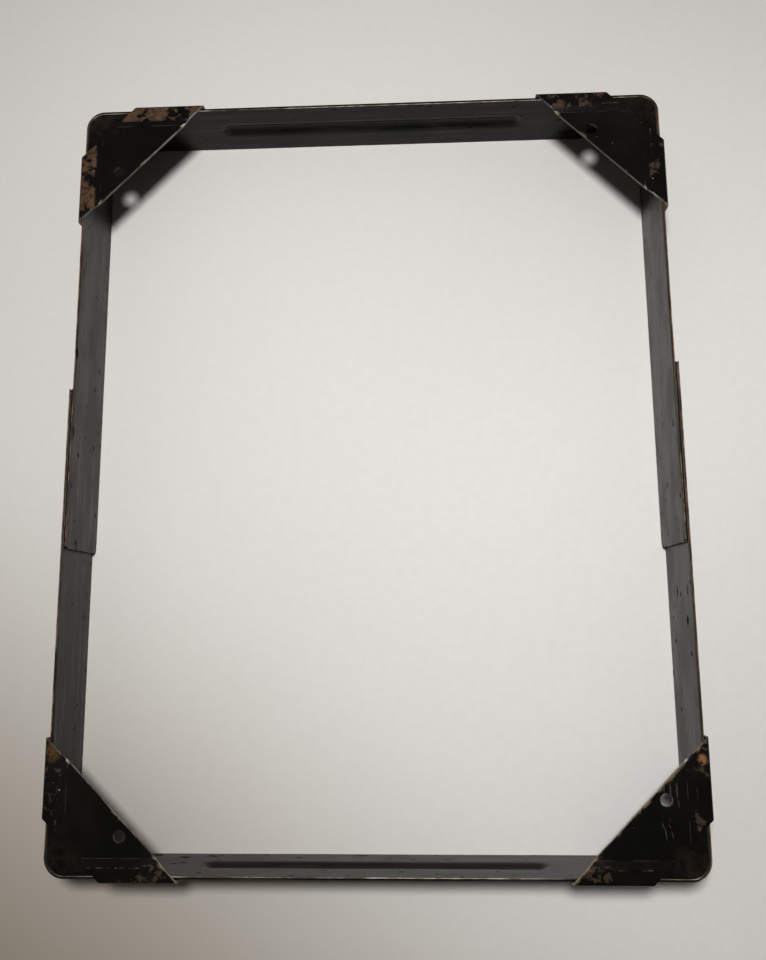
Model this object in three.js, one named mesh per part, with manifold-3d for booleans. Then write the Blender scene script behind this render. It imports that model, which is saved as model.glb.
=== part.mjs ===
// Adjustable sheet-steel negative carrier.
//
// Two U-shaped bands stand on edge and telescope along Y: the legs of the rear half slide
// inside the legs of the front half. A stamped gusset is hooked over each corner. It lies
// just inside the band, level with its top edge, and two tabs step up over that edge and
// fold down outside. Millimetres, +Z up, origin under the middle of the frame.

import * as THREE from 'three';
import { mergeVertices } from 'three/addons/utils/BufferGeometryUtils.js';
import Module from 'manifold-3d';

const INCH = 25.4;

// Band: the strip that both halves are bent from.
const WINDOW_WIDTH = 8 * INCH;
const FRAME_LENGTH = 262.4;
const BAND_HEIGHT = INCH;
const SHEET = 0.9;
const CORNER_RADIUS = 6.4;
const LEG_LENGTH = 6.25 * INCH;
const LONG_LEG_EXTRA = 5.7;
const SLIDE_GAP = 0.35;
const LOWER_END_RADIUS = 2.6;
const UPPER_END_RADIUS = 0.8;

// Stiffening bead pressed outwards along the middle of each bar.
const BEAD_LENGTH = 113;
const BEAD_WIDTH = 8.4;
const BEAD_DEPTH = 1.5;
const BEAD_EDGE_RADIUS = 3;

// Corner gusset. Its outline is set by sums of the two distances from the corner, because
// the long edge and both ends of each tab are cut at 45 degrees.
const GUSSET_REACH = 42;
const TAB_START = 17.3;
const SHEAR_SLIT = 0.4;
const SEAT_GAP = 0.3;
const STRIP_INNER_EDGE = 3.7;
const RAMP_FOOT = 6.2;
const FLANGE_DEPTH = 10;
const FOLD_RADIUS = 0.8;
const HOLE_RADIUS = 2;
const HOLE_FAR = 23.9;
const HOLE_NEAR = 12.8;

// Values that follow from the ones above.
const REAR_WIDTH = WINDOW_WIDTH + 2 * SHEET;
const FRONT_WIDTH = REAR_WIDTH + 2 * (SHEET + SLIDE_GAP);
const STRIP_BASE = BAND_HEIGHT + SEAT_GAP;
const PLATE_BASE = STRIP_BASE - SHEET;
const EDGE_CLEARANCE = SHEET + SLIDE_GAP;
const CUT_MARGIN = 2;

const ARC_STEPS = 8;
const BEAD_TURN_STEPS = 20;
const HOLE_STEPS = 40;

const wasm = await Module();
wasm.setup();

// A closed three.js geometry as a solid that can be cut and joined.
function solid(geometry) {
  const bare = geometry.clone();
  bare.deleteAttribute('normal');
  bare.deleteAttribute('uv');
  const merged = mergeVertices(bare, 1e-4);
  const mesh = new wasm.Mesh({
    numProp: 3,
    vertProperties: new Float32Array(merged.attributes.position.array),
    triVerts: new Uint32Array(merged.index.array),
  });
  return new wasm.Manifold(mesh);
}

function geometryOf(manifold) {
  const mesh = manifold.getMesh();
  const geometry = new THREE.BufferGeometry();
  geometry.setAttribute('position', new THREE.BufferAttribute(new Float32Array(mesh.vertProperties), 3));
  geometry.setIndex(new THREE.BufferAttribute(new Uint32Array(mesh.triVerts), 1));
  geometry.computeVertexNormals();
  return geometry;
}

// A solid raised from a flat outline, along the outline's own normal.
function raise(shape, depth) {
  return new THREE.ExtrudeGeometry(shape, { depth, bevelEnabled: false, curveSegments: ARC_STEPS });
}

// The cut edge of a bent sheet: its middle line, thickened to both sides with mitred corners.
function sheetOutline(middle, thickness) {
  const left = [];
  const right = [];
  middle.forEach((point, i) => {
    const before = middle[Math.max(i - 1, 0)];
    const after = middle[Math.min(i + 1, middle.length - 1)];
    const arriving = point.clone().sub(i > 0 ? before : point).normalize();
    const leaving = (i < middle.length - 1 ? after : point).clone().sub(point).normalize();
    const along = arriving.clone().add(leaving).normalize();
    const straight = arriving.lengthSq() > 0 ? arriving : leaving;
    const side = new THREE.Vector2(-along.y, along.x);
    const reach = thickness / 2 / Math.max(along.dot(straight), 0.5);
    left.push(point.clone().addScaledVector(side, reach));
    right.push(point.clone().addScaledVector(side, -reach));
  });
  return new THREE.Shape([...left, ...right.reverse()]);
}

// Middle line of a U-shaped band in plan. `back` is the outer face of the bar, and
// `towards` is +1 for a bar at the +Y end and -1 for one at the -Y end.
function bandLine(width, back, towards, legLength) {
  const half = (width - SHEET) / 2;
  const bar = back - towards * SHEET / 2;
  const free = back - towards * (legLength + CUT_MARGIN);
  const turn = CORNER_RADIUS - SHEET / 2;
  const path = new THREE.Path();
  path.moveTo(-half, free);
  path.lineTo(-half, bar - towards * turn);
  path.absarc(-half + turn, bar - towards * turn, turn, Math.PI, towards * Math.PI / 2, towards > 0);
  path.lineTo(half - turn, bar);
  path.absarc(half - turn, bar - towards * turn, turn, towards * Math.PI / 2, 0, towards > 0);
  path.lineTo(half, free);
  return dropRepeats(path.getPoints(ARC_STEPS / 2));
}

function dropRepeats(points) {
  return points.filter((point, i) => i === 0 || point.distanceTo(points[i - 1]) > 1e-6);
}

// Side view of a leg, drawn from its free end at 0 towards the bar, with rounded end corners.
function legSide(length) {
  const top = BAND_HEIGHT + CUT_MARGIN;
  const shape = new THREE.Shape();
  shape.moveTo(length, -CUT_MARGIN);
  shape.lineTo(length, top);
  shape.lineTo(UPPER_END_RADIUS, top);
  shape.lineTo(UPPER_END_RADIUS, BAND_HEIGHT);
  shape.absarc(UPPER_END_RADIUS, BAND_HEIGHT - UPPER_END_RADIUS, UPPER_END_RADIUS, Math.PI / 2, Math.PI, false);
  shape.lineTo(0, LOWER_END_RADIUS);
  shape.absarc(LOWER_END_RADIUS, LOWER_END_RADIUS, LOWER_END_RADIUS, Math.PI, 1.5 * Math.PI, false);
  shape.lineTo(LOWER_END_RADIUS, -CUT_MARGIN);
  return shape;
}

// Solid that keeps one leg and half of the bar, and trims the leg's free end.
// `side` is -1 for the leg at -X and +1 for the leg at +X.
function endForm(side, back, towards, legLength) {
  const reach = FRONT_WIDTH / 2 + CUT_MARGIN;
  const geometry = raise(legSide(legLength + 2 * CUT_MARGIN), reach + CUT_MARGIN);
  const toSide = new THREE.Matrix4().makeBasis(
    new THREE.Vector3(0, 1, 0),
    new THREE.Vector3(0, 0, 1),
    new THREE.Vector3(1, 0, 0),
  );
  geometry.applyMatrix4(toSide);
  geometry.translate(side > 0 ? -CUT_MARGIN : -reach, 0, 0);
  if (towards < 0) {
    geometry.rotateZ(Math.PI);
    geometry.translate(side > 0 ? reach - CUT_MARGIN : CUT_MARGIN - reach, 0, 0);
  }
  geometry.translate(0, back - towards * legLength, 0);
  return solid(geometry);
}

// Half of the bead's section: distance from the bead's middle line, and depth from the
// inner face of the bar. Two arcs meet at the wall's steepest point. `offset` moves the
// curve square to itself, so that both faces of the sheet come from one rule.
function beadSection(offset, floor) {
  const slope = 2 * Math.atan(2 * BEAD_DEPTH / BEAD_WIDTH);
  const bottomRadius = BEAD_WIDTH / 2 / Math.sin(slope) - BEAD_EDGE_RADIUS;
  const points = [];
  for (let i = 0; i <= ARC_STEPS / 2; i++) {
    const angle = slope * i / (ARC_STEPS / 2);
    const radius = bottomRadius + offset;
    const drop = bottomRadius - radius * Math.cos(angle);
    points.push(new THREE.Vector2(radius * Math.sin(angle), BEAD_DEPTH - drop));
  }
  for (let i = ARC_STEPS / 2 - 1; i >= 0; i--) {
    const angle = slope * i / (ARC_STEPS / 2);
    const radius = BEAD_EDGE_RADIUS - offset;
    const depth = BEAD_EDGE_RADIUS - radius * Math.cos(angle);
    points.push(new THREE.Vector2(BEAD_WIDTH / 2 - radius * Math.sin(angle), depth));
  }
  points[0].x = 0;
  points.push(new THREE.Vector2(BEAD_WIDTH / 2, floor));
  return points;
}

// Pressed form of the bead: the section drawn along the bar, with a turned form at each end.
// It is built with depth along +Y and its length along X.
function beadForm(offset, floor) {
  const half = beadSection(offset, floor);
  const straight = (BEAD_LENGTH - BEAD_WIDTH) / 2;
  const mirrored = half.slice(1).reverse().map((p) => new THREE.Vector2(-p.x, p.y));
  const drawn = raise(new THREE.Shape([...mirrored, ...half]), 2 * straight);
  drawn.translate(0, 0, -straight);
  drawn.rotateY(Math.PI / 2);
  const turned = [new THREE.Vector2(0, floor), ...half.slice().reverse()];
  const end = new THREE.LatheGeometry(turned, BEAD_TURN_STEPS);
  return solid(drawn)
    .add(solid(end.clone().translate(-straight, 0, 0)))
    .add(solid(end.clone().translate(straight, 0, 0)));
}

// One half of the frame: a bent band with a bead in its bar and trimmed legs.
function bandHalf(width, towards, leftLength, rightLength) {
  const back = towards * FRAME_LENGTH / 2;
  const innerFace = back - towards * SHEET;
  const line = bandLine(width, back, towards, Math.max(leftLength, rightLength));
  const band = solid(raise(sheetOutline(line, SHEET), BAND_HEIGHT));
  const ends = endForm(-1, back, towards, leftLength).add(endForm(1, back, towards, rightLength));
  const turn = towards > 0 ? 0 : 180;
  const place = (form) => form.rotate([0, 0, turn]).translate([0, innerFace, BAND_HEIGHT / 2]);
  const pressed = place(beadForm(SHEET, SHEET / 2));
  const hollow = place(beadForm(0, -SHEET));
  return geometryOf(band.intersect(ends).add(pressed).subtract(hollow));
}

// Middle line of a tab, from the plate outwards: level, up the ramp, over the band's edge,
// round the fold and down the flange. x is the distance inside the band's outer face.
function tabLine() {
  const plateMiddle = PLATE_BASE + SHEET / 2;
  const stripMiddle = STRIP_BASE + SHEET / 2;
  const points = [new THREE.Vector2(RAMP_FOOT + CUT_MARGIN, plateMiddle)];
  for (let i = 0; i <= ARC_STEPS; i++) {
    const t = i / ARC_STEPS;
    const rise = (1 - Math.cos(Math.PI * t)) / 2;
    const x = THREE.MathUtils.lerp(RAMP_FOOT, STRIP_INNER_EDGE, t);
    points.push(new THREE.Vector2(x, THREE.MathUtils.lerp(plateMiddle, stripMiddle, rise)));
  }
  const fold = new THREE.Path();
  const flangeMiddle = -SEAT_GAP - SHEET / 2;
  fold.moveTo(flangeMiddle + FOLD_RADIUS, stripMiddle);
  fold.absarc(flangeMiddle + FOLD_RADIUS, stripMiddle - FOLD_RADIUS, FOLD_RADIUS, Math.PI / 2, Math.PI, false);
  fold.lineTo(flangeMiddle, BAND_HEIGHT - FLANGE_DEPTH);
  return dropRepeats([...points, ...fold.getPoints(ARC_STEPS / 2)]);
}

// Plan of the strip of metal that a tab is bent from: a band between two 45 degree cuts.
function tabPlan() {
  const low = -CUT_MARGIN;
  const high = RAMP_FOOT + CUT_MARGIN / 2;
  const near = TAB_START + SHEAR_SLIT;
  const shape = new THREE.Shape();
  shape.moveTo(near - low, low);
  shape.lineTo(GUSSET_REACH - low, low);
  shape.lineTo(GUSSET_REACH - high, high);
  shape.lineTo(near - high, high);
  return shape;
}

// Plan of the flat plate. Its corner follows the inside of the band's own corner.
function platePlan() {
  const edge = EDGE_CLEARANCE;
  const turn = CORNER_RADIUS - SHEET;
  const shape = new THREE.Shape();
  shape.moveTo(edge + turn, edge);
  shape.lineTo(TAB_START - edge, edge);
  shape.lineTo(TAB_START - RAMP_FOOT, RAMP_FOOT);
  shape.lineTo(GUSSET_REACH - RAMP_FOOT, RAMP_FOOT);
  shape.lineTo(RAMP_FOOT, GUSSET_REACH - RAMP_FOOT);
  shape.lineTo(RAMP_FOOT, TAB_START - RAMP_FOOT);
  shape.lineTo(edge, TAB_START - edge);
  shape.lineTo(edge, edge + turn);
  shape.absarc(edge + turn, edge + turn, turn, Math.PI, 1.5 * Math.PI, false);
  return shape;
}

// One tab along +X, cut to its plan.
function tab() {
  const length = GUSSET_REACH + 2 * CUT_MARGIN;
  const drawn = raise(sheetOutline(tabLine(), SHEET), length);
  const alongX = new THREE.Matrix4().makeBasis(
    new THREE.Vector3(0, 1, 0),
    new THREE.Vector3(0, 0, 1),
    new THREE.Vector3(1, 0, 0),
  );
  drawn.applyMatrix4(alongX);
  const keep = raise(tabPlan(), BAND_HEIGHT + 2 * CUT_MARGIN);
  return solid(drawn).intersect(solid(keep));
}

// A gusset for the corner at the origin, with the band's outer faces on the X and Y axes.
function gusset() {
  const plate = raise(platePlan(), SHEET).translate(0, 0, PLATE_BASE);
  const drill = new THREE.CylinderGeometry(HOLE_RADIUS, HOLE_RADIUS, 4 * SHEET, HOLE_STEPS);
  drill.rotateX(Math.PI / 2);
  drill.translate(HOLE_FAR, HOLE_NEAR, PLATE_BASE + SHEET / 2);
  const alongX = tab();
  const alongY = tab().mirror([1, -1, 0]);
  return geometryOf(solid(plate).add(alongX).add(alongY).subtract(solid(drill)));
}

function finish(color, roughness, metalness) {
  return new THREE.MeshStandardMaterial({ color, roughness, metalness });
}

function addPiece(parent, name, geometry, material) {
  const piece = new THREE.Mesh(geometry, material);
  piece.name = name;
  parent.add(piece);
  return piece;
}

const carrier = new THREE.Group();
const bandPaint = { color: 0x1d1c1a, roughness: 0.32, metalness: 0.25 };
const gussetPaint = { color: 0x141313, roughness: 0.26, metalness: 0.3 };

const rear = bandHalf(REAR_WIDTH, 1, LEG_LENGTH, LEG_LENGTH);
const front = bandHalf(FRONT_WIDTH, -1, LEG_LENGTH, LEG_LENGTH + LONG_LEG_EXTRA);
addPiece(carrier, 'rear_half', rear, finish(bandPaint.color, bandPaint.roughness, bandPaint.metalness));
addPiece(carrier, 'front_half', front, finish(bandPaint.color, bandPaint.roughness, bandPaint.metalness));

// Each corner takes the same stamping, turned a quarter turn from the last.
const corners = [
  { name: 'front_left_gusset', x: -1, y: -1, width: FRONT_WIDTH, turns: 0 },
  { name: 'front_right_gusset', x: 1, y: -1, width: FRONT_WIDTH, turns: 1 },
  { name: 'rear_right_gusset', x: 1, y: 1, width: REAR_WIDTH, turns: 2 },
  { name: 'rear_left_gusset', x: -1, y: 1, width: REAR_WIDTH, turns: 3 },
];
const stamping = gusset();
for (const corner of corners) {
  const paint = finish(gussetPaint.color, gussetPaint.roughness, gussetPaint.metalness);
  const piece = addPiece(carrier, corner.name, stamping.clone(), paint);
  piece.position.set(corner.x * corner.width / 2, corner.y * FRAME_LENGTH / 2, 0);
  piece.rotation.z = corner.turns * Math.PI / 2;
}

export default carrier;
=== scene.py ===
"""Adjustable sheet-steel negative carrier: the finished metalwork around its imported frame.

Two bent bands telescope, and a stamped gusset is hooked over each corner. The bands are
drawn by one node tree, the gussets are one stamping that a second tree turns into place,
and both are finished in worn black enamel.
"""

import math

import bmesh
import bpy
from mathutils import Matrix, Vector
from mathutils.geometry import delaunay_2d_cdt


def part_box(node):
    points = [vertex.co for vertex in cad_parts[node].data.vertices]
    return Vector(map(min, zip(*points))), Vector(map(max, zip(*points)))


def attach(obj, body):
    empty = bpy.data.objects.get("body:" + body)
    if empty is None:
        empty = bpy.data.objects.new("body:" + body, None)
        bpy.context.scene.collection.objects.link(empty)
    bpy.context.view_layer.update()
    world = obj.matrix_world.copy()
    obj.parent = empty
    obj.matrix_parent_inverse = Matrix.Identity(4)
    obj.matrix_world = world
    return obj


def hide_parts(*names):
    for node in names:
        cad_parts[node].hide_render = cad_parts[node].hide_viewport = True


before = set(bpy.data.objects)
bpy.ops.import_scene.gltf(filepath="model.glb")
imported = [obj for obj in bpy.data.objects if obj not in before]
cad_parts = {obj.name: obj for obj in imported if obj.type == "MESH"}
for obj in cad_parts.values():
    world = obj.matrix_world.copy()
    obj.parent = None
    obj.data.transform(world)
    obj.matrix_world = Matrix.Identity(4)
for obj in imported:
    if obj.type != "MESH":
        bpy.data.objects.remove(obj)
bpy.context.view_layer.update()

MM = 0.001

# Sheet metal, as the frame was designed.
SHEET = 0.9 * MM
CORNER_RADIUS = 6.4 * MM
LONG_LEG_EXTRA = 5.7 * MM
LOWER_END_RADIUS = 2.6 * MM
UPPER_END_RADIUS = 0.8 * MM
BEAD_LENGTH = 113 * MM
BEAD_WIDTH = 8.4 * MM
BEAD_DEPTH = 1.5 * MM
BEAD_EDGE_RADIUS = 3 * MM
CUT_EDGE_RADIUS = 0.14 * MM

GUSSET_REACH = 42 * MM
TAB_START = 17.3 * MM
SHEAR_SLIT = 0.25 * MM
SEAT_GAP = 0.3 * MM
STRIP_INNER_EDGE = 3.7 * MM
RAMP_FOOT = 6.2 * MM
FLANGE_DEPTH = 10 * MM
FOLD_RADIUS = 0.8 * MM
HOLE_RADIUS = 2 * MM
HOLE_FAR = 23.9 * MM
HOLE_NEAR = 12.8 * MM
HOLE_CENTRE = (HOLE_FAR, HOLE_NEAR)
EDGE_CLEARANCE = 1.25 * MM

# How uneven the pressed sheet is: heights of its ripples, and ripples a metre.
BAND_RIPPLE = 0.16 * MM
BAND_RIPPLES = 24.0
GUSSET_RIPPLE = 0.22 * MM
GUSSET_RIPPLES = 46.0
GUSSET_SEED = 5.0

# Fineness of the meshes.
BAND_STEP = 0.95 * MM
BEND_STEPS = 14
CUT_EDGE_STEPS = 3
PLATE_STEP = 1.1 * MM
HOLE_STEPS = 48
TAB_COLUMNS = 44
RAMP_STEPS = 16
STRIP_STEPS = 4
FOLD_STEPS = 8
FLANGE_STEPS = 10
CORNER_STEPS = 14
SMOOTH_BELOW = math.radians(32)
EASED_ABOVE = math.radians(55)
SAME_POINT = 0.001 * MM
FLAT_WITHIN = 0.01 * MM

# The kind of result asked of delaunay_2d_cdt, and its tolerance in metres.
TRIANGLES_INSIDE = 1
TRIANGLE_TOLERANCE = 1e-7

# Each half of the frame, read from its own CAD node.
rear_low, rear_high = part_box("rear_half")
front_low, front_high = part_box("front_half")
BAND_HEIGHT = rear_high[2]
REAR_FACE = rear_high[1] - BEAD_DEPTH
FRONT_FACE = front_low[1] + BEAD_DEPTH
REAR_WIDTH = rear_high[0] - rear_low[0]
FRONT_WIDTH = front_high[0] - front_low[0]
STRIP_BASE = BAND_HEIGHT + SEAT_GAP
PLATE_BASE = STRIP_BASE - SHEET
PLATE_MIDDLE = PLATE_BASE + SHEET / 2

# Marks of wear on the front gussets: two spots in plan, and lines at these distances in
# from the frame's right side.
ORANGE_SPOT = (front_high[0] - 1.5 * MM, FRONT_FACE + 36 * MM)
TAN_SPOT = (front_low[0] + 1.5 * MM, FRONT_FACE + 38.5 * MM)
RUBBED_LINES = (9.5 * MM, 11.5 * MM, 13.5 * MM)


# ---------------------------------------------------------------------------
# Node trees, written as plain arithmetic
# ---------------------------------------------------------------------------

class Value:
    """A number or colour in a node tree, which takes ordinary arithmetic."""

    def __init__(self, tree, socket):
        self.tree = tree
        self.socket = socket

    def __add__(self, other):
        return self.tree.math("ADD", self, other)

    def __radd__(self, other):
        return self.tree.math("ADD", other, self)

    def __sub__(self, other):
        return self.tree.math("SUBTRACT", self, other)

    def __rsub__(self, other):
        return self.tree.math("SUBTRACT", other, self)

    def __mul__(self, other):
        return self.tree.math("MULTIPLY", self, other)

    def __rmul__(self, other):
        return self.tree.math("MULTIPLY", other, self)

    def __truediv__(self, other):
        return self.tree.math("DIVIDE", self, other)


class Tree:
    """A node tree being built."""

    def __init__(self, nodes, links):
        self.nodes = nodes
        self.links = links

    def feed(self, socket, value):
        """Links a Value to a socket, or sets the socket to anything else but None."""
        if isinstance(value, Value):
            self.links.new(value.socket, socket)
        elif value is not None:
            socket.default_value = value

    def add(self, kind, inputs=None, **settings):
        """A new node, with its inputs fed by name and its settings set."""
        node = self.nodes.new(kind)
        for name, value in settings.items():
            setattr(node, name, value)
        for name, value in (inputs or {}).items():
            self.feed(node.inputs[name], value)
        return node

    def out(self, node, name=0):
        return Value(self, node.outputs[name])

    def math(self, operation, *values):
        node = self.add("ShaderNodeMath", operation=operation)
        for socket, value in zip(node.inputs, values):
            self.feed(socket, value)
        return self.out(node)

    def remap(self, value, low, high, to_low=0.0, to_high=1.0, smooth=True):
        """value from low..high to to_low..to_high, held at both ends."""
        node = self.add(
            "ShaderNodeMapRange",
            {"Value": value, "From Min": low, "From Max": high, "To Min": to_low, "To Max": to_high},
            interpolation_type="SMOOTHSTEP" if smooth else "LINEAR",
        )
        return self.out(node)

    def split(self, vector):
        node = self.add("ShaderNodeSeparateXYZ", {"Vector": vector})
        return self.out(node, "X"), self.out(node, "Y"), self.out(node, "Z")

    def gather(self, x, y, z):
        return self.out(self.add("ShaderNodeCombineXYZ", {"X": x, "Y": y, "Z": z}))


# ---------------------------------------------------------------------------
# Paint and rust
# ---------------------------------------------------------------------------

# Where a Mix node's inputs begin and its output lies, for each kind of value.
MIX_SOCKETS = {"FLOAT": (2, 0), "RGBA": (6, 2)}
COS_45 = 0.7071

# How strongly each paint mirrors what is round it, as an index of refraction.
BAND_INDEX = 1.34
GUSSET_INDEX = 1.4

# The bands' legs lie further than this from the middle of the frame.
LEGS_FROM = 99 * MM

BLACK = (0.0070, 0.0066, 0.0062, 1)
DUSTY_BLACK = (0.026, 0.024, 0.022, 1)
# Painted reflection: the grey of the bright table mirrored in the side legs.
PAINTED_REFLECTION_GREY = (0.070, 0.066, 0.061, 1)
PIT_BLACK = (0.003, 0.0026, 0.0022, 1)
BROWN_STAIN = (0.036, 0.024, 0.016, 1)
BARE_STEEL = (0.46, 0.44, 0.41, 1)
DULL_STEEL = (0.20, 0.185, 0.17, 1)
TAN_WEAR = (0.25, 0.18, 0.115, 1)
LIGHT_TAN = (0.38, 0.29, 0.19, 1)
OCHRE = (0.115, 0.072, 0.032, 1)
RUST = (0.125, 0.070, 0.040, 1)
DARK_RUST = (0.046, 0.027, 0.016, 1)
ORANGE_RUST = (0.36, 0.17, 0.07, 1)
DUST = (0.46, 0.44, 0.41, 1)
TABLE_GREY = (0.80, 0.79, 0.77, 1)
# Painted light on the table's +X side.
TABLE_PAINTED_LIGHT = (0.92, 0.915, 0.90, 1)
TABLE_MOTTLE = (0.78, 0.77, 0.745, 1)
# Painted shade past the table's near left corner.
TABLE_PAINTED_SHADE = (0.42, 0.37, 0.31, 1)
TABLE_GRIT = (0.5, 0.48, 0.46, 1)


class Finish(Tree):
    """A painted-metal material, with the patterns that its layers share."""

    def __init__(self, name):
        self.material = bpy.data.materials.new(name)
        self.material.use_nodes = True
        tree = self.material.node_tree
        super().__init__(tree.nodes, tree.links)
        self.shader = tree.nodes["Principled BSDF"]
        self.place = self.out(self.add("ShaderNodeTexCoord"), "Object")

    def attribute(self, name):
        """A number that the mesh carries on its points."""
        return self.out(self.add("ShaderNodeAttribute", attribute_name=name), "Fac")

    def placed(self, stretch, shift):
        """The place to read a pattern at."""
        mapping = {"Vector": self.place, "Scale": stretch, "Location": (shift,) * 3}
        return self.out(self.add("ShaderNodeMapping", mapping))

    def noise(self, scale, detail=3.0, roughness=0.5, stretch=(1, 1, 1), shift=0.0):
        """Soft noise with `scale` features a metre, drawn out where `stretch` is under one.

        It keeps to about 0.3 to 0.7, and each layer has a `shift` that sets it apart.
        """
        node = self.add(
            "ShaderNodeTexNoise",
            {"Vector": self.placed(stretch, shift), "Scale": scale, "Detail": detail, "Roughness": roughness},
        )
        return self.out(node, "Fac")

    def spots(self, cell, radius, share, stretch=(1, 1, 1), shift=0.0, ragged=0.0):
        """Spots of up to `radius`, one in each cell of size `cell`, in only a `share` of the cells."""
        node = self.add("ShaderNodeTexVoronoi", {"Vector": self.placed(stretch, shift), "Scale": 1 / cell})
        red = self.out(self.add("ShaderNodeSeparateColor", {"Color": self.out(node, "Color")}), "Red")
        size = self.remap(red, 1 - share, 1.0, 0.0, radius / cell, smooth=False)
        edge = size - self.out(node, "Distance") + ragged
        softness = 0.12 * radius / cell + 0.01
        return self.remap(edge, 0.0, softness)

    def mix(self, kind, amount, under, over):
        """Goes from `under` to `over` as the amount goes from 0 to 1."""
        first, result = MIX_SOCKETS[kind]
        node = self.add("ShaderNodeMix", data_type=kind)
        self.feed(node.inputs[0], amount)
        self.feed(node.inputs[first], under)
        self.feed(node.inputs[first + 1], over)
        return Value(self, node.outputs[result])

    def tint(self, amount, under, over):
        """Colour `over` laid on colour `under` by an amount from 0 to 1."""
        return self.mix("RGBA", amount, under, over)

    def lay(self, amount, under, over):
        """The same for a plain number."""
        return self.mix("FLOAT", amount, under, over)

    def most(self, *values):
        """The greatest of several values."""
        best = values[0]
        for value in values[1:]:
            best = self.math("MAXIMUM", best, value)
        return best

    def relief(self, height, depth, under=None):
        """A bump `depth` deep where height goes from 0 to 1, added to the bumps `under` it."""
        node = self.add("ShaderNodeBump", {"Height": height, "Distance": depth, "Strength": 1.0})
        if under is not None:
            self.links.new(under.socket, node.inputs["Normal"])
        return self.out(node)

    def finish(self, colour, roughness, metallic, normal, index=1.5):
        """Feeds the shader and gives back the material."""
        self.shader.inputs["IOR"].default_value = index
        self.feed(self.shader.inputs["Base Color"], colour)
        self.feed(self.shader.inputs["Roughness"], roughness)
        self.feed(self.shader.inputs["Metallic"], metallic)
        self.feed(self.shader.inputs["Normal"], normal)
        return self.material


def arris_wear(f, up, across, on_leg):
    """Bare metal along the cut edges: on the bars' inner arris and the legs' outer one."""
    ragged = (f.noise(700, 4, 0.65, stretch=(0.5, 1, 1), shift=9) - 0.5) * (0.36 * MM)
    from_side = SHEET / 2 - f.math("ABSOLUTE", across)
    from_top = BAND_HEIGHT - up
    from_arris = f.most(from_side, f.math("MINIMUM", from_top, up)) + ragged
    inner = f.remap(across, -0.15 * MM, 0.15 * MM)
    worn_side = f.lay(on_leg, inner, 1 - inner)
    patches = f.remap(f.noise(70, 4, 0.62, stretch=(0.5, 1, 1), shift=10), 0.40, 0.58)
    starts = f.lay(on_leg, 0.34 * MM, 0.46 * MM)
    full = f.lay(on_leg, 0.16 * MM, 0.26 * MM)
    return f.remap(from_arris, starts, full) * f.lay(worn_side, 0.06, 1.0) * f.lay(patches, 0.22, 1.0)


def band_stain(f, x, y, on_leg):
    """Brown smears, strongest in the bent corners and stronger on the legs than on the bars."""
    by_side = f.remap(f.math("ABSOLUTE", x), 80 * MM, 100 * MM)
    by_bar = f.remap(f.math("ABSOLUTE", y), 100 * MM, 128 * MM)
    smears = f.remap(f.noise(90, 5, 0.6, stretch=(0.4, 1, 1), shift=5), 0.42, 0.60)
    return f.most(by_side * by_bar * 0.9, f.lay(on_leg, 0.30, 0.55)) * smears


def band_pits(f, on_leg):
    """Ragged dark pits drawn out along the band, gathered in some stretches."""
    gathered = f.remap(f.noise(26, 3, 0.5, stretch=(0.6, 1, 1), shift=6), 0.44, 0.56)
    torn = (f.noise(900, 3, 0.6, stretch=(0.5, 1, 1), shift=12) - 0.55) * 0.5
    large = f.spots(3.4 * MM, 1.0 * MM, 0.50, stretch=(0.35, 1, 1), ragged=torn)
    small = f.spots(1.9 * MM, 0.60 * MM, 0.30, stretch=(0.5, 1, 1), shift=7, ragged=torn)
    pits = f.most(large * gathered, small * f.lay(gathered, 0.4, 1.0))
    return pits * f.lay(on_leg, 0.6, 1.0)


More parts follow.
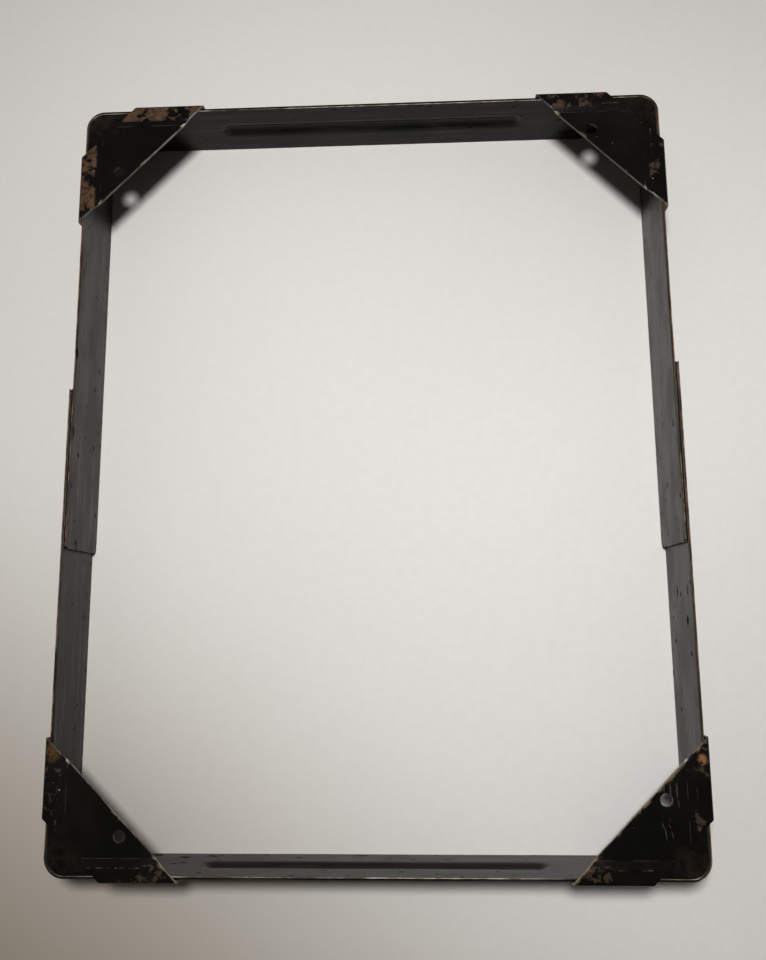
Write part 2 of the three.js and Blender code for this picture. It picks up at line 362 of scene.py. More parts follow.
def band_enamel():
    """Semi-gloss black on the bent bands: streaked lengthwise, pitted, bare along its cut edges, with a
    painted reflection lightening the legs.

    It is laid out along the sheet: distance along the band, height up it, and place across
    its thickness towards the inside of the frame, which each band carries on its points.
    """
    f = Finish("band_enamel")
    x, y, _ = f.split(f.place)
    on_leg = f.remap(f.math("ABSOLUTE", x), LEGS_FROM, LEGS_FROM + 2 * MM)
    up, across = f.attribute("up"), f.attribute("across")
    f.place = f.gather(f.attribute("along"), up, across)

    clouds = f.noise(38, 4, 0.55)
    streaks = f.noise(320, 4, 0.6, stretch=(0.05, 1, 1), shift=2)
    hairlines = f.noise(820, 3, 0.6, stretch=(0.025, 1, 1), shift=3)
    grain = f.noise(1500, 2, 0.5, shift=4)
    film = f.remap(streaks * 0.55 + clouds * 0.45, 0.42, 0.60)
    # Painted reflection: the side legs are coloured lighter grey for the bright table mirrored in them,
    # fading out towards the near left corner where the table lies in shade.
    painted_reflection_on_legs = on_leg * f.remap(x * -0.6 + y * -0.8, 0.14, 0.06)
    rubbed = f.remap(hairlines, 0.52, 0.64) * f.remap(clouds, 0.36, 0.58) * f.lay(on_leg, 0.30, 1.0)
    stain = band_stain(f, x, y, on_leg)
    pitted = band_pits(f, on_leg)
    chips = f.spots(13 * MM, 0.40 * MM, 0.14, shift=8)
    bare = arris_wear(f, up, across, on_leg)
    tan = f.remap(f.noise(160, 4, 0.6, shift=11), 0.40, 0.62)
    bare_colour = f.tint(on_leg, f.tint(tan, BARE_STEEL, TAN_WEAR), f.tint(tan, LIGHT_TAN, RUST))

    colour = f.tint(film * 0.6, BLACK, DUSTY_BLACK)
    # Painted reflection on the legs.
    colour = f.tint(painted_reflection_on_legs * f.lay(film, 0.45, 1.0), colour, PAINTED_REFLECTION_GREY)
    colour = f.tint(rubbed * 0.55, colour, DULL_STEEL)
    colour = f.tint(stain, colour, BROWN_STAIN)
    colour = f.tint(pitted, colour, PIT_BLACK)
    colour = f.tint(chips, colour, DUST)
    colour = f.tint(bare, colour, bare_colour)

    # The pits are black metal at full roughness, so that they reflect next to nothing.
    roughness = 0.20 + film * 0.08 + rubbed * 0.15
    roughness = f.lay(stain, roughness, 0.42)
    roughness = f.lay(bare, roughness, 0.45)
    roughness = f.lay(pitted, roughness, 1.0)
    metallic = f.most(bare * (1 - on_leg) * 0.25, pitted)

    normal = f.relief(clouds, 0.35 * MM)
    normal = f.relief(streaks, 0.05 * MM, normal)
    normal = f.relief(hairlines, 0.010 * MM, normal)
    normal = f.relief(pitted * -1, 0.12 * MM, normal)
    normal = f.relief(grain, 0.006 * MM, normal)
    return f.finish(colour, roughness, metallic, normal, index=BAND_INDEX)


def lines_beside_tab(f):
    """Wavering lines rubbed into the front right gusset's plate, beside its side tab."""
    x, y, _ = f.split(f.place)
    waver = (f.noise(160, 3, 0.6, stretch=(0.1, 1, 0.1), shift=15) - 0.5) * (4 * MM)
    from_side = front_high[0] - x + waver
    lines = [f.remap(f.math("ABSOLUTE", from_side - at), 0.26 * MM, 0.08 * MM) for at in RUBBED_LINES]
    from_front = y - FRONT_FACE
    reach = f.remap(from_front, 11 * MM, 15 * MM) * f.remap(from_front, 31 * MM, 27 * MM)
    broken = f.remap(f.noise(260, 4, 0.6, stretch=(1, 0.5, 1), shift=16), 0.46, 0.58)
    return f.most(*lines) * reach * broken


def spot_in_plan(f, spot, outer, inner):
    """1 within `inner` of a spot and 0 beyond `outer`, drawn out a little along Y."""
    x, y, _ = f.split(f.place)
    across = x - spot[0]
    along = (y - spot[1]) * 0.8
    return f.remap(f.math("SQRT", across * across + along * along), outer, inner)


def diagonal_wear(f, inside, from_edge, ragged):
    """Bright metal along the gusset's diagonal cut edge, and on its kinks at the ramps' feet."""
    patches = f.remap(f.noise(60, 4, 0.6, shift=10), 0.40, 0.58)
    rim = f.remap(from_edge + (ragged - 0.5) * (0.25 * MM), 0.20 * MM, 0.06 * MM)
    from_kink = f.most(f.math("ABSOLUTE", inside - RAMP_FOOT), from_edge)
    kink = f.remap(from_kink + (ragged - 0.5) * (0.8 * MM), 0.70 * MM, 0.45 * MM)
    return f.most(rim * f.lay(patches, 0.20, 0.75), kink)


def bend_highlights_and_wear(f, inside):
    """Broken tan lines along the strip's inner edge and, fainter, along the ramp's foot: painted highlights
    where the sheet bends, partly worn paint.
    """
    crease = f.remap(f.math("ABSOLUTE", inside - STRIP_INNER_EDGE + 0.1 * MM), 0.30 * MM, 0.08 * MM)
    crease = crease * f.remap(f.noise(300, 5, 0.7, shift=11), 0.50, 0.66)
    foot = f.remap(f.math("ABSOLUTE", inside - RAMP_FOOT), 0.20 * MM, 0.06 * MM)
    foot = foot * f.remap(f.noise(110, 3, 0.6, shift=12), 0.46, 0.60)
    return f.most(crease * 0.5, foot * 0.25)


def gusset_enamel():
    """Black on the stamped gussets, with the tabs rubbed through to rust, a few bright chips, and painted
    highlights along the tabs' bends.

    The corner map gives the two distances from the gusset's corner; each gusset also carries
    how much of its tabs has rusted.
    """
    f = Finish("gusset_enamel")
    z = f.split(f.place)[2]
    u, v, _ = f.split(f.out(f.add("ShaderNodeUVMap", uv_map="corner")))
    inside = f.math("MINIMUM", u, v) * GUSSET_REACH
    along = f.math("MAXIMUM", u, v) * GUSSET_REACH
    from_edge = (GUSSET_REACH - inside - along) * COS_45
    from_corner = f.math("SQRT", u * u + v * v) * GUSSET_REACH
    on_tab = f.remap(inside + along, TAB_START, TAB_START + 0.3 * MM)
    raised = f.remap(z, STRIP_BASE + 0.50 * MM, STRIP_BASE + 0.80 * MM)
    flange = f.remap(z, PLATE_BASE, PLATE_BASE - 1.0 * MM)

    clouds = f.noise(36, 5, 0.6, shift=2)
    mottle = f.noise(120, 5, 0.66, shift=3)
    ragged = f.noise(420, 5, 0.66, shift=4)
    grain = f.noise(1300, 2, 0.5, shift=5)
    stain = f.remap(from_corner, 17 * MM, 8 * MM) * f.remap(mottle * 0.5 + ragged * 0.5, 0.42, 0.60)
    rubbed_lines = lines_beside_tab(f)

    rusted = f.attribute("rusted")
    through = f.remap(mottle * 0.65 + ragged * 0.35 - f.lay(rusted, 0.62, 0.42), 0.0, 0.04)
    rubbed = f.most(raised, flange * 0.8) * through
    rust = f.tint(f.remap(ragged * 0.6 + mottle * 0.4, 0.42, 0.58), DARK_RUST, RUST)
    ochre = raised * spot_in_plan(f, TAN_SPOT, 3.4 * MM, 1.4 * MM) * f.remap(ragged, 0.38, 0.50)
    orange = raised * spot_in_plan(f, ORANGE_SPOT, 1.9 * MM, 0.7 * MM) * f.remap(ragged, 0.34, 0.50)

    patches = f.remap(f.noise(58, 4, 0.6, shift=14), 0.52, 0.63)
    fringe = f.remap(from_edge + (ragged - 0.5) * (3.0 * MM), 0.85 * MM, 0.25 * MM) * patches
    # Painted highlights along the tabs' bends, partly worn paint.
    lines = bend_highlights_and_wear(f, inside) * on_tab
    bright = diagonal_wear(f, inside, from_edge, ragged)
    bright_colour = f.tint(f.remap(mottle, 0.44, 0.60), BARE_STEEL, TAN_WEAR)
    tab_specks = f.spots(2.2 * MM, 0.40 * MM, 0.24, shift=13) * f.most(raised, flange)
    specks = f.most(f.spots(2.6 * MM, 0.17 * MM, 0.20) * 0.7, tab_specks)

    colour = f.tint(f.remap(clouds, 0.46, 0.70) * 0.35, BLACK, DUSTY_BLACK)
    colour = f.tint(stain * 0.8, colour, BROWN_STAIN)
    colour = f.tint(rubbed_lines * 0.6, colour, DULL_STEEL)
    colour = f.tint(rubbed * f.lay(rusted, 0.30, 1.15), colour, rust)
    colour = f.tint(ochre * 0.9, colour, OCHRE)
    colour = f.tint(orange * 0.9, colour, ORANGE_RUST)
    colour = f.tint(fringe * 0.8, colour, TAN_WEAR)
    # Painted highlight along the tab's bends, partly worn paint.
    colour = f.tint(lines, colour, TAN_WEAR)
    colour = f.tint(bright, colour, bright_colour)
    colour = f.tint(specks, colour, DUST)

    roughness = 0.16 + f.remap(mottle, 0.35, 0.70) * 0.10
    roughness = f.lay(f.most(rubbed, fringe, orange), roughness, 0.75)
    roughness = f.lay(f.most(bright, lines, specks), roughness, 0.5)

    normal = f.relief(clouds, 0.30 * MM)
    normal = f.relief(rubbed_lines, 0.02 * MM, normal)
    normal = f.relief(f.most(rubbed, fringe) * ragged, 0.09 * MM, normal)
    normal = f.relief(specks + bright, 0.03 * MM, normal)
    normal = f.relief(grain, 0.006 * MM, normal)
    return f.finish(colour, roughness, bright * 0.2, normal, index=GUSSET_INDEX)


def table_top():
    """Pale, softly mottled table, with painted light brightening it towards +X and -Y, and a dimmer, warmer
    stretch of painted shade past its near left corner.
    """
    f = Finish("table_top")
    x, y, _ = f.split(f.place)
    towards_corner = x * -0.6 + y * -0.85
    # Painted shade: a brown, dimmer stretch past the near left corner, fading out further on.
    painted_shade_past_corner = f.remap(towards_corner, 0.06, 0.25) * f.remap(towards_corner, 0.60, 0.32)
    # Painted light: the table is coloured lighter towards +X and -Y.
    painted_light_gradient = f.remap(x * 0.9 - y * 0.5, -0.02, 0.14)
    mottled = f.remap(f.noise(5, 4, 0.55), 0.35, 0.65)
    fine = f.noise(300, 3, 0.55)
    colour = f.tint(painted_light_gradient, TABLE_GREY, TABLE_PAINTED_LIGHT)
    colour = f.tint(mottled * 0.2, colour, TABLE_MOTTLE)
    colour = f.tint(painted_shade_past_corner, colour, TABLE_PAINTED_SHADE)
    colour = f.tint(f.remap(fine, 0.4, 0.62) * 0.03, colour, TABLE_GRIT)
    return f.finish(colour, 0.55 + fine * 0.1, 0.0, f.relief(fine, 0.015 * MM))


# ---------------------------------------------------------------------------
# Shared mesh work
# ---------------------------------------------------------------------------

def place_object(name, data):
    """A new object in the scene for a mesh, lamp or camera."""
    piece = bpy.data.objects.new(name, data)
    bpy.context.scene.collection.objects.link(piece)
    return piece


def settle(piece):
    """Applies the piece's modifiers, which leaves it a plain mesh."""
    bpy.context.view_layer.update()
    graph = bpy.context.evaluated_depsgraph_get()
    mesh = bpy.data.meshes.new_from_object(piece.evaluated_get(graph), depsgraph=graph)
    piece.modifiers.clear()
    piece.data = mesh
    mesh.name = piece.name


def soften(mesh):
    """Smooth shading that keeps the sharper edges."""
    mesh.polygons.foreach_set("use_smooth", [True] * len(mesh.polygons))
    mesh.set_sharp_from_angle(angle=SMOOTH_BELOW)


def geometry_tree(name, inputs):
    """A new Geometry Nodes group with named inputs: the group, its tree and the inputs' values."""
    group = bpy.data.node_groups.new(name, "GeometryNodeTree")
    group.is_modifier = True
    group.interface.new_socket("Geometry", in_out="OUTPUT", socket_type="NodeSocketGeometry")
    for label, kind in inputs:
        group.interface.new_socket(label, in_out="INPUT", socket_type=kind)
    tree = Tree(group.nodes, group.links)
    source = group.nodes.new("NodeGroupInput")
    values = {label: Value(tree, source.outputs[label]) for label, _ in inputs}
    return group, tree, values


def end_tree(group, tree, geometry, material):
    """The last nodes of a tree: real meshes with their material."""
    real = tree.add("GeometryNodeRealizeInstances", {"Geometry": geometry})
    painted = tree.add("GeometryNodeSetMaterial", {"Geometry": tree.out(real), "Material": material})
    sink = group.nodes.new("NodeGroupOutput")
    group.links.new(painted.outputs[0], sink.inputs[0])


def run_tree(piece, group, values):
    """Puts the group on a piece as a modifier, with values for its inputs by name."""
    modifier = piece.modifiers.new(group.name, "NODES")
    modifier.node_group = group
    for item in group.interface.items_tree:
        if item.in_out == "INPUT" and item.name in values:
            modifier[item.identifier] = values[item.name]


def mark(tree, geometry, name, value):
    """Stores a value on the points of a curve or mesh, for the paint to read."""
    node = tree.add(
        "GeometryNodeStoreNamedAttribute",
        {"Geometry": geometry, "Name": name, "Value": value},
        data_type="FLOAT",
    )
    return tree.out(node)


def ripple_in_sheet(tree, t):
    """A slow unevenness about zero, of up to half of the ripple's height either way."""
    noise = {"Scale": t["Ripples a metre"], "Detail": 1.0, "W": t["Seed"]}
    wave = tree.add("ShaderNodeTexNoise", noise, noise_dimensions="4D")
    tree.feed(wave.inputs["Vector"], tree.out(tree.add("GeometryNodeInputPosition")))
    return (tree.out(wave, "Fac") - 0.5) * t["Ripple"]


def arc_height(tree, radius, offset):
    """How high a circle stands over its centre line at an offset from its middle."""
    return tree.math("SQRT", tree.math("MAXIMUM", radius * radius - offset * offset, 0))


# ---------------------------------------------------------------------------
# Bent bands
# ---------------------------------------------------------------------------

BAND_INPUTS = [
    ("Width", "NodeSocketFloat"),
    ("Bar face", "NodeSocketFloat"),
    ("Direction", "NodeSocketFloat"),
    ("Left leg", "NodeSocketFloat"),
    ("Right leg", "NodeSocketFloat"),
    ("Height", "NodeSocketFloat"),
    ("Sheet", "NodeSocketFloat"),
    ("Corner radius", "NodeSocketFloat"),
    ("Bead length", "NodeSocketFloat"),
    ("Bead width", "NodeSocketFloat"),
    ("Bead depth", "NodeSocketFloat"),
    ("Bead edge radius", "NodeSocketFloat"),
    ("Lower end radius", "NodeSocketFloat"),
    ("Upper end radius", "NodeSocketFloat"),
    ("Edge radius", "NodeSocketFloat"),
    ("Spacing", "NodeSocketFloat"),
    ("Ripple", "NodeSocketFloat"),
    ("Ripples a metre", "NodeSocketFloat"),
    ("Seed", "NodeSocketFloat"),
    ("Paint", "NodeSocketMaterial"),
]


def divide_long_spans(tree, curve, spacing):
    """Adds points to a curve's straight spans, so that no step is longer than `spacing`."""
    size = tree.add("GeometryNodeAttributeDomainSize", {"Geometry": curve}, component="CURVE")
    index = tree.out(tree.add("GeometryNodeInputIndex"))
    place = tree.out(tree.add("GeometryNodeInputPosition"))
    following = tree.math("MODULO", index + 1, tree.out(size, "Point Count"))
    neighbour = tree.add("GeometryNodeFieldAtIndex", data_type="FLOAT_VECTOR", domain="POINT")
    tree.feed(neighbour.inputs["Index"], following)
    tree.feed(neighbour.inputs["Value"], place)
    gap = tree.add("ShaderNodeVectorMath", operation="DISTANCE")
    tree.feed(gap.inputs[0], place)
    tree.feed(gap.inputs[1], tree.out(neighbour))
    cuts = tree.math("FLOOR", tree.out(gap, "Value") / spacing)
    return tree.out(tree.add("GeometryNodeSubdivideCurve", {"Curve": curve, "Cuts": cuts}))


def band_path(tree, t):
    """The band's middle line in plan: one leg, the bar and the other leg, with bent corners."""
    index = tree.out(tree.add("GeometryNodeInputIndex"))
    is_right = tree.math("GREATER_THAN", index, 1.5)
    is_bar = tree.math("LESS_THAN", tree.math("ABSOLUTE", index - 1.5), 1.0)
    half = (t["Width"] - t["Sheet"]) * 0.5
    leg = t["Left leg"] + is_right * (t["Right leg"] - t["Left leg"])
    from_face = is_bar * (t["Sheet"] * 0.5) + (1 - is_bar) * leg
    x = half * (is_right * 2 - 1)
    y = t["Bar face"] - t["Direction"] * from_face
    line = tree.out(tree.add("GeometryNodeCurvePrimitiveLine"))
    four_points = tree.out(tree.add("GeometryNodeSubdivideCurve", {"Curve": line, "Cuts": 2}))
    corners = {"Geometry": four_points, "Position": tree.gather(x, y, 0)}
    shaped = tree.out(tree.add("GeometryNodeSetPosition", corners))
    bent = tree.add("GeometryNodeFilletCurve", {"Curve": shaped, "Count": BEND_STEPS}, mode="POLY")
    tree.feed(bent.inputs["Radius"], t["Corner radius"] - t["Sheet"] * 0.5)
    path = divide_long_spans(tree, tree.out(bent), t["Spacing"])
    distance = tree.out(tree.add("GeometryNodeSplineParameter"), "Length")
    return mark(tree, path, "along", distance + t["Seed"])


def band_section(tree, t):
    """The strip's own section, with its cut edges slightly rounded.

    Its points carry their height up the band and their place across the sheet.
    """
    box = tree.add("GeometryNodeCurvePrimitiveQuadrilateral", {"Width": t["Sheet"], "Height": t["Height"]})
    rounding = {"Curve": tree.out(box), "Count": CUT_EDGE_STEPS, "Radius": t["Edge radius"]}
    eased = tree.add("GeometryNodeFilletCurve", rounding, mode="POLY")
    section = divide_long_spans(tree, tree.out(eased), t["Spacing"] * 0.5)
    x, y, _ = tree.split(tree.out(tree.add("GeometryNodeInputPosition")))
    section = mark(tree, section, "across", x * t["Direction"])
    return mark(tree, section, "up", y + t["Height"] * 0.5)


def bead_depth(tree, t, x, z):
    """Depth of the bead at a place on the bar: two arcs that meet at the steepest point."""
    half_width = t["Bead width"] * 0.5
    slope = 2 * tree.math("ARCTANGENT", t["Bead depth"] / half_width)
    bottom = half_width / tree.math("SINE", slope) - t["Bead edge radius"]
    straight = t["Bead length"] * 0.5 - half_width
    along = tree.math("MAXIMUM", tree.math("ABSOLUTE", x) - straight, 0)
    across = z - t["Height"] * 0.5
    away = tree.math("SQRT", along * along + across * across)
    floor = t["Bead depth"] - bottom + arc_height(tree, bottom, away)
    reach = tree.math("MAXIMUM", half_width - away, 0)
    lip = t["Bead edge radius"] - arc_height(tree, t["Bead edge radius"], reach)
    in_floor = tree.math("LESS_THAN", away, bottom * tree.math("SINE", slope))
    return in_floor * floor + (1 - in_floor) * lip


def round_end(tree, radius, height):
    """How far the leg's end is cut back at a height inside its rounded corner."""
    inside = tree.math("MAXIMUM", radius - height, 0)
    return radius - arc_height(tree, radius, inside)


def leg_trim(tree, t, x, y, z):
    """How far a point moves along Y to round the free ends of the legs."""
    free = t["Left leg"] + tree.math("GREATER_THAN", x, 0) * (t["Right leg"] - t["Left leg"])
    from_end = free - (t["Bar face"] - y) * t["Direction"]
    cut_back = round_end(tree, t["Lower end radius"], z)
    cut_back = cut_back + round_end(tree, t["Upper end radius"], t["Height"] - z)
    fade_length = t["Lower end radius"] * 4
    fade = tree.math("MAXIMUM", 1 - from_end / fade_length, 0)
    return cut_back * fade * t["Direction"]


def band_tree():
    """A U-shaped band on edge, with a pressed bead along its bar and rounded leg ends."""
    group, tree, t = geometry_tree("Bent band", BAND_INPUTS)
    drawn = tree.add(
        "GeometryNodeCurveToMesh",
        {"Curve": band_path(tree, t), "Profile Curve": band_section(tree, t), "Fill Caps": True},
    )
    standing = {"Geometry": tree.out(drawn), "Translation": tree.gather(0, 0, t["Height"] * 0.5)}
    raised = tree.out(tree.add("GeometryNodeTransform", standing))
    x, y, z = tree.split(tree.out(tree.add("GeometryNodeInputPosition")))

    trim = leg_trim(tree, t, x, y, z)
    from_middle = tree.math("ABSOLUTE", x)
    on_bar = tree.math("LESS_THAN", from_middle, t["Bead length"] * 0.5)
    pressed = bead_depth(tree, t, x, z) * on_bar * t["Direction"]
    ripple = ripple_in_sheet(tree, t)
    is_leg = tree.math("GREATER_THAN", from_middle, t["Width"] * 0.5 - t["Sheet"] * 1.5)
    is_flat = tree.math("LESS_THAN", tree.math("ABSOLUTE", pressed), FLAT_WITHIN)
    offset = tree.gather(ripple * is_leg, trim + pressed + ripple * (1 - is_leg) * is_flat, 0)
    shaped = tree.add("GeometryNodeSetPosition", {"Geometry": raised, "Offset": offset})
    end_tree(group, tree, tree.out(shaped), t["Paint"])
    return group


def turn_out(mesh):
    """Merges doubles and points every face outwards."""
    work = bmesh.new()
    work.from_mesh(mesh)
    bmesh.ops.remove_doubles(work, verts=work.verts, dist=SAME_POINT)
    bmesh.ops.recalc_face_normals(work, faces=work.faces)
    work.to_mesh(mesh)
    work.free()


def make_band(name, group, paint, face, direction, width, left_leg, right_leg, seed):
    """A band whose bar's outer face is at Y = face, on the +Y or -Y side by its direction."""
    band = place_object(name, bpy.data.meshes.new(name))
    sizes = {
        "Width": width, "Bar face": face, "Direction": direction,
        "Left leg": left_leg, "Right leg": right_leg,
        "Height": BAND_HEIGHT, "Sheet": SHEET, "Corner radius": CORNER_RADIUS,
        "Bead length": BEAD_LENGTH, "Bead width": BEAD_WIDTH, "Bead depth": BEAD_DEPTH,
        "Bead edge radius": BEAD_EDGE_RADIUS, "Lower end radius": LOWER_END_RADIUS,
        "Upper end radius": UPPER_END_RADIUS, "Edge radius": CUT_EDGE_RADIUS,
        "Spacing": BAND_STEP, "Ripple": BAND_RIPPLE, "Ripples a metre": BAND_RIPPLES,
        "Seed": seed, "Paint": paint,
    }
    run_tree(band, group, sizes)
    settle(band)
    turn_out(band.data)
    soften(band.data)
    return band


# ---------------------------------------------------------------------------
# Stamped gussets
# ---------------------------------------------------------------------------

GUSSET_INPUTS = [
    ("Stamping", "NodeSocketGeometry"),
    ("Corner", "NodeSocketVector"),
    ("Quarter turns", "NodeSocketFloat"),
    ("Plate height", "NodeSocketFloat"),
    ("Sheet", "NodeSocketFloat"),
    ("Ripple", "NodeSocketFloat"),
    ("Ripples a metre", "NodeSocketFloat"),
    ("Rusted", "NodeSocketFloat"),
    ("Seed", "NodeSocketFloat"),
    ("Paint", "NodeSocketMaterial"),
]


def steps(count):
    """Evenly spaced values from 0 to 1, both included."""
    return [i / count for i in range(count + 1)]


def between(start, end, t):
    """The value a share t of the way from start to end."""
    return start + (end - start) * t


def ramp_rise(t):
    """Height of the straight ramp at t, both from 0 to 1, with a short bend at each end."""
    bend = 0.2
    slope = 1 / (1 - bend)
    if t < bend:
        return slope * t * t / (2 * bend)
    if t > 1 - bend:
        return 1 - slope * (1 - t) * (1 - t) / (2 * bend)
    return slope * (t - bend / 2)


def tab_line():
    """Middle of the tab's sheet from plate to flange: (distance inside the band's face, height)."""
    strip = STRIP_BASE + SHEET / 2
    flange = -SEAT_GAP - SHEET / 2
    fold_start = flange + FOLD_RADIUS
    fold_end = strip - FOLD_RADIUS
    low = BAND_HEIGHT - FLANGE_DEPTH
    points = []
    for t in steps(RAMP_STEPS):
        points.append((between(RAMP_FOOT, STRIP_INNER_EDGE, t), between(PLATE_MIDDLE, strip, ramp_rise(t))))
    for t in steps(STRIP_STEPS)[1:-1]:
        points.append((between(STRIP_INNER_EDGE, fold_start, t), strip))
    for t in steps(FOLD_STEPS):
        angle = math.pi / 2 * t
        drop = FOLD_RADIUS * (1 - math.cos(angle))
        points.append((fold_start - FOLD_RADIUS * math.sin(angle), strip - drop))
    for t in steps(FLANGE_STEPS)[1:]:
        points.append((flange, between(fold_end, low, t)))
    return points


def tab_column(inside, t):
    """Distance from the corner of column t on the tab, between its two 45 degree ends."""
    return between(TAB_START + SHEAR_SLIT - inside, GUSSET_REACH - inside, t)


def plate_outline():
    """The flat plate in plan, anticlockwise from the +X end of the corner's arc."""
    columns = [tab_column(RAMP_FOOT, t) for t in steps(TAB_COLUMNS)]
    turn = CORNER_RADIUS - SHEET
    edge = EDGE_CLEARANCE
    centre = edge + turn
    outline = [(TAB_START - edge, edge), (TAB_START - RAMP_FOOT, RAMP_FOOT)]
    outline += [(column, RAMP_FOOT) for column in columns]
    outline += [(RAMP_FOOT, column) for column in reversed(columns)]
    outline += [(RAMP_FOOT, TAB_START - RAMP_FOOT), (edge, TAB_START - edge)]
    for t in steps(CORNER_STEPS):
        angle = math.pi + math.pi / 2 * t
        outline.append((centre + turn * math.cos(angle), centre + turn * math.sin(angle)))
    return outline


def inside_outline(point, outline):
    """Whether a point lies inside a closed outline, by counting the sides crossed on its way out."""
    x, y = point
    inside = False
    for (x1, y1), (x2, y2) in zip(outline, outline[1:] + outline[:1]):
        if (y1 > y) != (y2 > y) and x < (x2 - x1) * (y - y1) / (y2 - y1) + x1:
            inside = not inside
    return inside


def plate_points(outline):
    """Evenly spaced points on the plate, clear of the hole's rim."""
    points = []
    count = int(GUSSET_REACH / PLATE_STEP)
    for i in range(1, count):
        for j in range(1, count):
            spot = (i * PLATE_STEP, (j + 0.5 * (i % 2)) * PLATE_STEP)
            clear = abs(math.dist(spot, HOLE_CENTRE) - HOLE_RADIUS) > PLATE_STEP / 2
            if clear and inside_outline(spot, outline):
                points.append(spot)
    return points


def plate_faces(work):
    """The plate's flat mesh, with its hole left open."""
    outline = plate_outline()
    turns = [2 * math.pi * i / HOLE_STEPS for i in range(HOLE_STEPS)]
    hole = [(HOLE_FAR + HOLE_RADIUS * math.cos(a), HOLE_NEAR + HOLE_RADIUS * math.sin(a)) for a in turns]
    rings = [(0, len(outline)), (len(outline), len(hole))]
    edges = [(start + i, start + (i + 1) % count) for start, count in rings for i in range(count)]
    points = [Vector(p) for p in outline + hole + plate_points(outline)]
    flat, _, faces, *_ = delaunay_2d_cdt(points, edges, [], TRIANGLES_INSIDE, TRIANGLE_TOLERANCE)
    verts = [work.verts.new((p.x, p.y, PLATE_MIDDLE)) for p in flat]
    for face in faces:
        middle = sum((flat[i] for i in face), Vector((0, 0))) / len(face)
        in_hole = math.dist(middle, HOLE_CENTRE) < HOLE_RADIUS
        if inside_outline(middle, outline) and not in_hole:
            work.faces.new([verts[i] for i in face])
    for vert in [v for v in work.verts if not v.link_faces]:
        work.verts.remove(vert)


def tab_faces(work, swapped):
    """One tab as a grid of quads from the plate to the flange; `swapped` draws it along Y."""
    rows = []
    for inside, height in tab_line():
        row = []
        for t in steps(TAB_COLUMNS):
            along = tab_column(inside, t)
            place = (inside, along, height) if swapped else (along, inside, height)
            row.append(work.verts.new(place))
        rows.append(row)
    for near, far in zip(rows, rows[1:]):
        for a, b, c, d in zip(near, near[1:], far[1:], far):
            work.faces.new((a, b, c, d))


def make_stamping():
    """The gusset's middle surface, for a corner at the origin, as a mesh with a corner map."""
    work = bmesh.new()
    plate_faces(work)
    tab_faces(work, False)
    tab_faces(work, True)
    bmesh.ops.remove_doubles(work, verts=work.verts, dist=2 * SAME_POINT)
    bmesh.ops.recalc_face_normals(work, faces=work.faces)
    up = sum(face.normal.z * face.calc_area() for face in work.faces)
    if up < 0:
        bmesh.ops.reverse_faces(work, faces=work.faces)
    corner_map = work.loops.layers.uv.new("corner")
    for face in work.faces:
        for loop in face.loops:
            loop[corner_map].uv = (loop.vert.co.x / GUSSET_REACH, loop.vert.co.y / GUSSET_REACH)
    mesh = bpy.data.meshes.new("gusset_stamping")
    work.to_mesh(mesh)
    work.free()
    return mesh


def placing_tree():
    """Stands a stamping at its corner, a number of quarter turns round, with an uneven plate."""
    group, tree, t = geometry_tree("Gusset at its corner", GUSSET_INPUTS)
    turn = tree.gather(0, 0, t["Quarter turns"] * (math.pi / 2))
    placed = tree.add(
        "GeometryNodeTransform",
        {"Geometry": t["Stamping"], "Translation": t["Corner"], "Rotation": turn},
    )
    ripple = ripple_in_sheet(tree, t)
    height = tree.split(tree.out(tree.add("GeometryNodeInputPosition")))[2]
    below_ramp = tree.math("LESS_THAN", height, t["Plate height"] + t["Sheet"] * 0.1)
    above_flange = tree.math("GREATER_THAN", height, t["Plate height"] - t["Sheet"] * 0.1)
    offset = tree.gather(0, 0, ripple * below_ramp * above_flange)
    uneven = tree.add("GeometryNodeSetPosition", {"Geometry": tree.out(placed), "Offset": offset})
    end_tree(group, tree, mark(tree, tree.out(uneven), "rusted", t["Rusted"]), t["Paint"])
    return group


def make_gusset(name, group, stamping, paint, corner, turns, rusted):
    """A gusset at its corner: the stamping given its sheet's thickness and eased edges."""
    gusset = place_object(name, stamping.copy())
    run_tree(gusset, group, {
        "Corner": corner, "Quarter turns": turns, "Plate height": PLATE_MIDDLE, "Sheet": SHEET,
        "Ripple": GUSSET_RIPPLE, "Ripples a metre": GUSSET_RIPPLES,
        "Rusted": rusted, "Seed": GUSSET_SEED + turns, "Paint": paint,
    })
    sheet = gusset.modifiers.new("Sheet", "SOLIDIFY")
    sheet.thickness = SHEET
    sheet.offset = 0.0
    sheet.use_even_offset = True
    eased = gusset.modifiers.new("Eased edges", "BEVEL")
    eased.width = CUT_EDGE_RADIUS
    eased.segments = 2
    eased.limit_method = "ANGLE"
    eased.angle_limit = EASED_ABOVE
    settle(gusset)
    soften(gusset.data)
    return gusset


# ---------------------------------------------------------------------------
# The frame
# ---------------------------------------------------------------------------

band_paint = band_enamel()
gusset_paint = gusset_enamel()
bands = band_tree()

rear_leg = REAR_FACE - rear_low[1]
rear_band = make_band(
    "rear_band", bands, band_paint, face=REAR_FACE, direction=1.0, width=REAR_WIDTH,
    left_leg=rear_leg, right_leg=rear_leg, seed=1.0,
)
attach(rear_band, "rear_frame")
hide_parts("rear_half")

long_leg = front_high[1] - FRONT_FACE
front_band = make_band(
    "front_band", bands, band_paint, face=FRONT_FACE, direction=-1.0, width=FRONT_WIDTH,
    left_leg=long_leg - LONG_LEG_EXTRA, right_leg=long_leg, seed=2.0,
)
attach(front_band, "front_frame")
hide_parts("front_half")

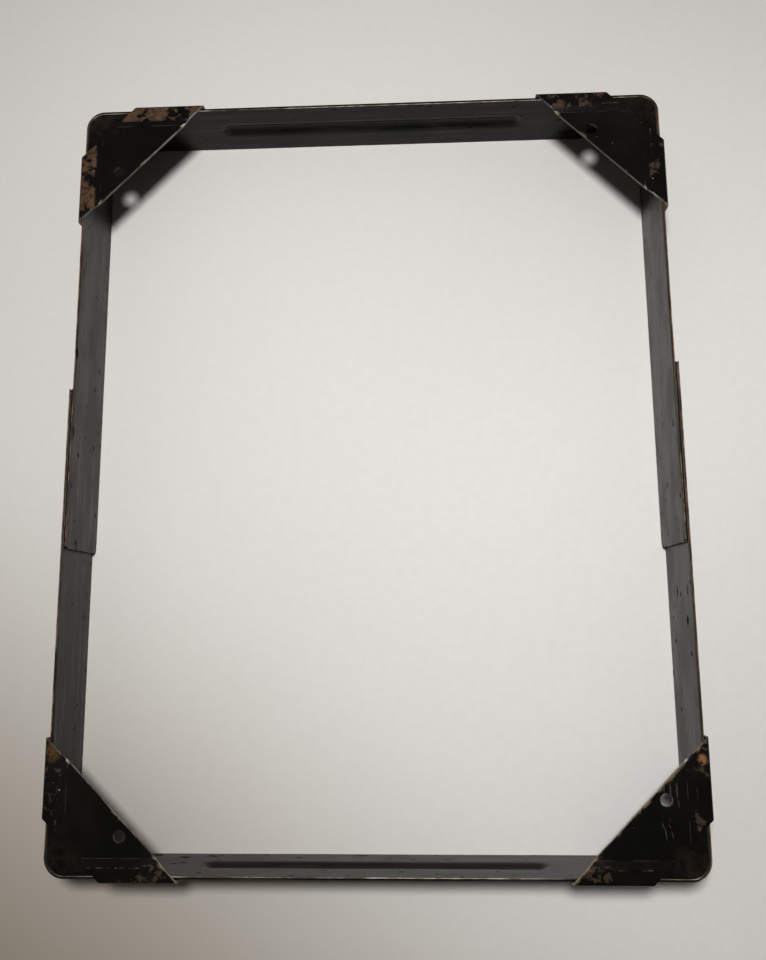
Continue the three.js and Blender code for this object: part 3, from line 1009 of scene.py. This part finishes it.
# Each corner: its name, the body it rides on, its place, quarter turns, and how rusted it is.
CORNERS = [
    ("front_left", "front_frame", (-FRONT_WIDTH / 2, FRONT_FACE, 0), 0, 0.28),
    ("front_right", "front_frame", (FRONT_WIDTH / 2, FRONT_FACE, 0), 1, 0.35),
    ("rear_right", "rear_frame", (REAR_WIDTH / 2, REAR_FACE, 0), 2, 0.36),
    ("rear_left", "rear_frame", (-REAR_WIDTH / 2, REAR_FACE, 0), 3, 0.85),
]
stamping = make_stamping()
placing = placing_tree()
for corner_name, body, corner, turns, rusted in CORNERS:
    gusset = make_gusset(f"{corner_name}_stamping", placing, stamping, gusset_paint, corner, turns, rusted)
    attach(gusset, body)
    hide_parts(f"{corner_name}_gusset")


# ---------------------------------------------------------------------------
# Table, light and camera
# ---------------------------------------------------------------------------

# Places and sizes in metres, the lamp's power in watts, the lens and sensor in millimetres.
TABLE_REACH = 4.0

LAMP_HEIGHT = 0.480
LAMP_X = -0.003
LAMP_Y = 0.050
LAMP_WIDTH = 0.09
LAMP_POWER = 1.96
LAMP_COLOUR = (1.0, 0.995, 0.985)

ROOM_COLOUR = (1.0, 0.93, 0.85, 1)
HORIZON_STRENGTH = 0.60
OVERHEAD_STRENGTH = 0.16
NEAR_SIDE_SHARE = 0.45

CAMERA_LENS = 38.97
CAMERA_SENSOR = 36.0
CAMERA_PLACE = (15.62 * MM, -50.25 * MM, 297.4 * MM)
CAMERA_TILT = (math.radians(9.222), math.radians(2.481), math.radians(-0.439))
VIEW_GAMMA = 0.8


def make_table():
    """The table that the frame stands on, far wider than the view."""
    far = TABLE_REACH
    mesh = bpy.data.meshes.new("table")
    mesh.from_pydata([(-far, -far, 0), (far, -far, 0), (far, far, 0), (-far, far, 0)], [], [(0, 1, 2, 3)])
    mesh.materials.append(table_top())
    place_object("table", mesh)


def make_lamp():
    """A round lamp that faces straight down."""
    light = bpy.data.lights.new("overhead_lamp", "AREA")
    light.shape = "DISK"
    light.size = LAMP_WIDTH
    light.energy = LAMP_POWER
    light.color = LAMP_COLOUR
    place_object("overhead_lamp", light).location = (LAMP_X, LAMP_Y, LAMP_HEIGHT)


def make_surroundings():
    """A soft room: pale round the horizon, dimmer overhead and on the side where one stands."""
    world = bpy.data.worlds.new("room")
    world.use_nodes = True
    tree = Tree(world.node_tree.nodes, world.node_tree.links)
    direction = tree.out(tree.add("ShaderNodeTexCoord"), "Generated")
    _, back, up = tree.split(direction)
    by_height = tree.remap(up, 0.45, 0.05, OVERHEAD_STRENGTH, HORIZON_STRENGTH)
    by_side = tree.remap(back, -0.6, 0.2, NEAR_SIDE_SHARE, 1.0)
    background = world.node_tree.nodes["Background"]
    background.inputs["Color"].default_value = ROOM_COLOUR
    tree.feed(background.inputs["Strength"], by_height * by_side)
    bpy.context.scene.world = world


def make_camera():
    """Held above the frame, a little in front of its middle and leaning back."""
    data = bpy.data.cameras.new("camera")
    data.sensor_fit = "HORIZONTAL"
    data.sensor_width = CAMERA_SENSOR
    data.lens = CAMERA_LENS
    data.clip_start = 10 * MM
    camera = place_object("camera", data)
    camera.location = CAMERA_PLACE
    camera.rotation_euler = CAMERA_TILT
    bpy.context.scene.camera = camera


make_table()
make_surroundings()
make_lamp()
make_camera()
bpy.context.scene.view_settings.view_transform = "Standard"
bpy.context.scene.view_settings.gamma = VIEW_GAMMA
